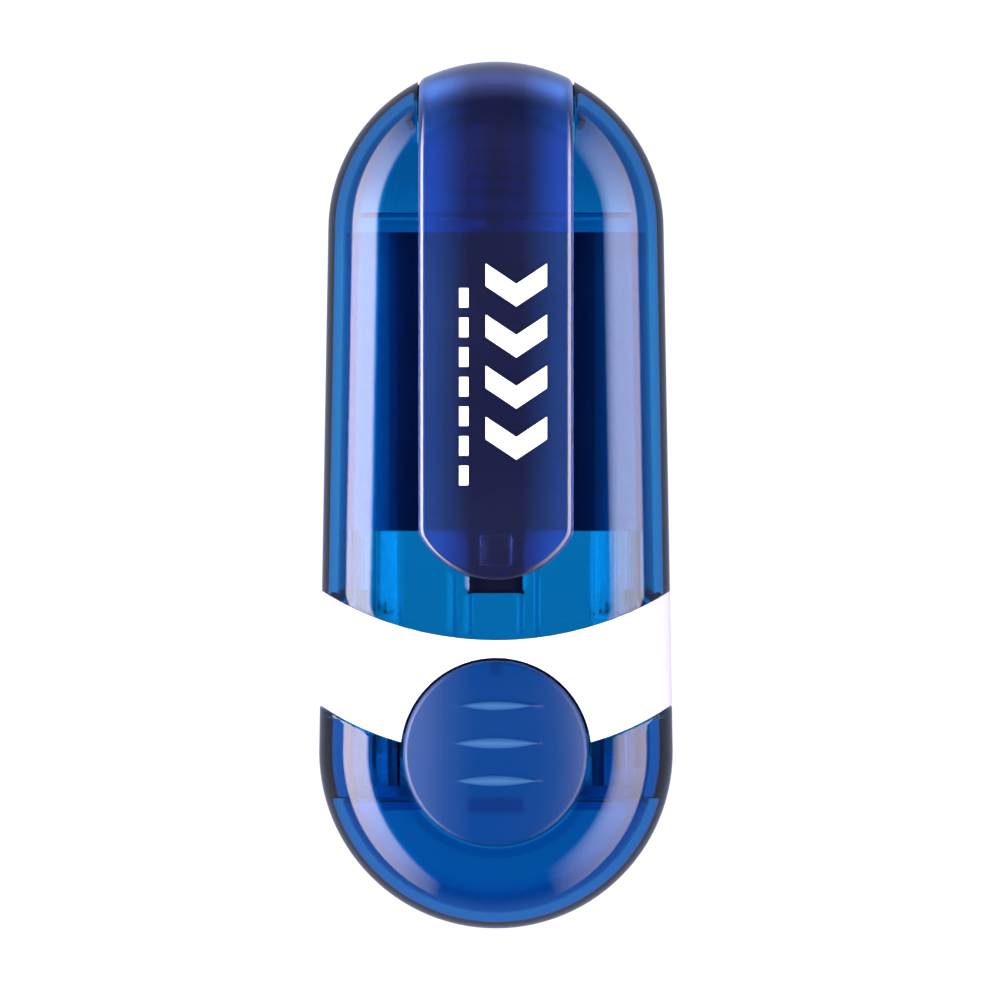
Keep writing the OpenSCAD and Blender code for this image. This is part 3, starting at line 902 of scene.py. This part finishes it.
make_handle()
make_band()
make_cap()
make_button()
make_clip()
make_spring()
make_ink_pad()
make_foam()
make_leaves()

for node, mat in (("yoke_sleeve", sleeve_mat), ("lock_plate", lock_mat), ("spring_post", navy_mat),
                  ("base_frame", frame_mat), ("frame_runners", runner_mat), ("foot_ring", foot_mat),
                  ("pad_housing", navy_mat), ("pad_cassette", cassette_mat),
                  ("plate_carrier", carrier_mat), ("axle_pins", steel_mat),
                  ("text_plate", plate_mat), ("ink_guard", frame_mat), ("button_pin", steel_mat),
                  ("latch_lever", navy_mat), ("clip_mark", print_mat)):
    paint(node, mat)


# Studio ------------------------------------------------------------------------
def make_floor():
    """A glowing white floor, dimmer and bluer in mirror reflections."""
    size = 3.0
    verts = [(-size, -size, 0), (size, -size, 0), (size, size, 0), (-size, size, 0)]
    floor = new_object("floor", verts, [(0, 1, 2, 3)])
    floor.location.z = -0.0002
    mat, nodes, links, shader, _ = material("floor_white")
    shader.inputs["Base Color"].default_value = (0.05, 0.05, 0.05, 1)
    shader.inputs["Roughness"].default_value = 0.9
    shader.inputs["Specular IOR Level"].default_value = 0.1
    mirrored = nodes.new("ShaderNodeLightPath").outputs["Is Reflection Ray"]
    dim = nodes.new("ShaderNodeMapRange")
    dim.inputs["To Min"].default_value = 0.97
    dim.inputs["To Max"].default_value = 0.5
    links.new(mirrored, dim.inputs["Value"])
    links.new(dim.outputs["Result"], shader.inputs["Emission Strength"])
    cool = ramp(nodes, links, mirrored, (1, 1, 1), (0.5, 0.62, 1), 0.0, 1.0)
    links.new(cool.outputs["Color"], shader.inputs["Emission Color"])
    floor.data.materials.append(mat)


def levels_along(nodes, links, source, stops):
    """Strength that changes smoothly with source; stops are (value, strength)."""
    colours = [(value, (level,) * 3) for value, level in stops]
    return tones_along(nodes, links, source, colours)


def make_panel(name, x, z_range, y_stops, top_fade, radiance):
    """A softbox at one side, facing the object, that fades towards its edges."""
    width, height = z_range[1] - z_range[0], y_stops[-1][0] - y_stops[0][0]
    data = bpy.data.lights.new(name, "AREA")
    data.shape = "RECTANGLE"
    data.size = width
    data.size_y = height
    data.energy = radiance * math.pi * width * height
    data.use_nodes = True
    nodes, links = data.node_tree.nodes, data.node_tree.links
    place = nodes.new("ShaderNodeNewGeometry").outputs["Position"]
    along = levels_along(nodes, links, one_axis(nodes, links, place, "Y"), y_stops)
    across = levels_along(nodes, links, one_axis(nodes, links, place, "Z"), (
        (z_range[0], 0), (z_range[0] + 0.04, 1), (z_range[1] - top_fade, 1), (z_range[1], 0)))
    links.new(mixed(nodes, links, along, across), nodes["Emission"].inputs["Strength"])
    nodes["Emission"].inputs["Color"].default_value = (1.0, 0.88, 0.93, 1)
    light = bpy.data.objects.new(name, data)
    bpy.context.scene.collection.objects.link(light)
    light.location = (x, (y_stops[0][0] + y_stops[-1][0]) / 2, sum(z_range) / 2)
    light.rotation_euler = (0, math.copysign(math.pi / 2, x), 0)


def make_world():
    """A pale light near the horizon that falls away to almost nothing overhead."""
    world = bpy.data.worlds.new("studio")
    bpy.context.scene.world = world
    world.use_nodes = True
    nodes, links = world.node_tree.nodes, world.node_tree.links
    direction = nodes.new("ShaderNodeTexCoord").outputs["Generated"]
    fall = nodes.new("ShaderNodeMapRange")
    fall.inputs["From Min"].default_value = 0.1
    fall.inputs["From Max"].default_value = 0.45
    fall.inputs["To Min"].default_value = 0.35
    fall.inputs["To Max"].default_value = 0.02
    links.new(one_axis(nodes, links, direction, "Z"), fall.inputs["Value"])
    nodes["Background"].inputs["Color"].default_value = (0.9, 0.92, 1.0, 1)
    links.new(fall.outputs["Result"], nodes["Background"].inputs["Strength"])


def make_camera():
    span, distance = 0.1, 0.95
    aim_x, aim_y = 0.4 * MM, -0.45 * MM
    data = bpy.data.cameras.new("camera")
    data.sensor_width = 36
    data.lens = data.sensor_width * distance / span
    cam = bpy.data.objects.new("camera", data)
    bpy.context.scene.collection.objects.link(cam)
    cam.location = (aim_x, aim_y, DEPTH / 2 + distance)
    bpy.context.scene.camera = cam


make_floor()
panel_stops = ((-1.3, 0), (-0.87, 0.24), (-0.43, 0.6), (-0.1, 1),
               (0.1, 1), (0.3, 0.6), (0.575, 0.2), (0.8, 0))
make_panel("left_panel", -0.5, (0.12, 0.98), panel_stops, 0.2, 14)
make_panel("right_panel", 0.5, (0.16, 2.8), panel_stops, 1.9, 8.5)
make_world()
make_camera()
bpy.context.scene.view_settings.view_transform = "Standard"
